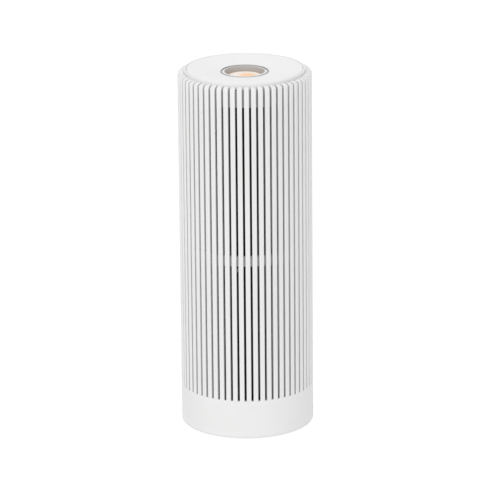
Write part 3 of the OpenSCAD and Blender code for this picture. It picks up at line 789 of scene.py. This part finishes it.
def build_button():
    top = top_of("glow_button")
    foot = foot_of("glow_button")
    reach = radius_of("glow_button")
    under = top - 2.4
    skirt_out, skirt_in, skirt_foot = 14.2, 12.8, 370.4
    stem_r = 3.0
    crown = 0.4
    steps = 12
    dome = [(reach * math.sin(math.pi / 2 * k / steps) * 0.985,
             top - crown * (1 - math.cos(math.pi / 2 * k / steps)) ** 1.4) for k in range(steps + 1)]
    outline = dome + [(reach, top - crown - 0.4), (reach, under), (skirt_out, under),
                      (skirt_out, skirt_foot), (skirt_in, skirt_foot), (skirt_in, under), (stem_r, under),
                      (stem_r, foot), (0, foot)]
    mesh = revolve_mesh("lit_button", outline)
    finish_mesh("lit_button", mesh, "button", GLOW, ["glow_button"], 40)


# ---------------------------------------------------------------- studio

def build_camera():
    """Long lens from 28 diameters away, a little above and a touch to the left, rolled half a degree."""
    distance = 56 * BODY_R * MM
    pitch = math.radians(17.71)
    azimuth = math.radians(-1.35)
    roll = math.radians(0.52)
    aim = Vector((-0.0002, 0, 0.4973 * LID_TOP * MM))
    away = Vector((math.sin(azimuth) * math.cos(pitch), -math.cos(azimuth) * math.cos(pitch),
                   math.sin(pitch)))
    data = bpy.data.cameras.new("camera")
    data.sensor_width = 36.0
    data.lens = 272.1
    data.clip_start = 0.1
    data.clip_end = 60.0
    camera = bpy.data.objects.new("camera", data)
    bpy.context.scene.collection.objects.link(camera)
    camera.location = aim + away * distance
    look = (aim - camera.location).to_track_quat("-Z", "Y")
    camera.rotation_euler = (look.to_matrix() @ Matrix.Rotation(-roll, 3, "Z")).to_euler()
    bpy.context.scene.camera = camera


def heading(azimuth, elevation):
    """Unit direction: azimuth from the front towards +X, elevation up, in degrees."""
    a, e = math.radians(azimuth), math.radians(elevation)
    return (math.sin(a) * math.cos(e), -math.cos(a) * math.cos(e), math.sin(e))


def build_world(base, lobes):
    """A white tent: even light with broad brighter panels. lobes: (azimuth, elevation, reach, strength)."""
    world = bpy.data.worlds.new("studio")
    world.use_nodes = True
    tree = world.node_tree
    background = tree.nodes["Background"]
    coordinates = tree.nodes.new("ShaderNodeTexCoord")
    total = None
    for azimuth, elevation, reach, strength in lobes:
        facing = tree.nodes.new("ShaderNodeVectorMath")
        facing.operation = "DOT_PRODUCT"
        facing.inputs[1].default_value = heading(azimuth, elevation)
        tree.links.new(coordinates.outputs["Generated"], facing.inputs[0])
        panel = tree.nodes.new("ShaderNodeMapRange")
        panel.interpolation_type = "SMOOTHSTEP"
        panel.inputs["From Min"].default_value = math.cos(math.radians(reach))
        panel.inputs["From Max"].default_value = 1.0
        panel.inputs["To Min"].default_value = 0.0
        panel.inputs["To Max"].default_value = strength
        tree.links.new(facing.outputs["Value"], panel.inputs["Value"])
        add = tree.nodes.new("ShaderNodeMath")
        add.operation = "ADD"
        tree.links.new(panel.outputs["Result"], add.inputs[0])
        if total is None:
            add.inputs[1].default_value = base
        else:
            tree.links.new(total, add.inputs[1])
        total = add.outputs[0]
    background.inputs["Color"].default_value = (1, 1, 1, 1)
    tree.links.new(total, background.inputs["Strength"])
    bpy.context.scene.world = world


def build_studio():
    """A pale floor that glows like a lit table, and the tent round it."""
    floor_mesh = bpy.data.meshes.new("floor")
    reach = 14.0
    corners = [(-reach, -reach, 0), (reach, -reach, 0), (reach, reach, 0), (-reach, reach, 0)]
    floor_mesh.from_pydata(corners, [], [(0, 1, 2, 3)])
    floor = bpy.data.objects.new("floor", floor_mesh)
    bpy.context.scene.collection.objects.link(floor)
    n = Nodes("lit_table")
    mottle = n.noise(3.0, 3.0, 0.5)
    floor_mesh.materials.append(n.set(
        color=n.mix(n.span(mottle, 0.3, 0.7, 0.0, 1.0), (0.24, 0.24, 0.24), (0.26, 0.26, 0.26)), rough=0.9,
        glow=(1.0, 1.0, 1.0), glow_strength=0.80))
    build_world(0.03, [(0, 90, 70, 1.33), (-46, 14, 50, 0.60), (-84, 10, 50, 0.27), (0, 14, 50, 0.60),
                       (34, 14, 46, 0.44), (180, 14, 38, 1.0)])
    view = bpy.context.scene.view_settings
    view.view_transform = "Standard"
    view.look = "None"
    view.exposure = 0.0
    view.gamma = 1.0


build_camera()
build_studio()
build_housing()
build_cartridge()
build_lid()
build_fan()
build_button()
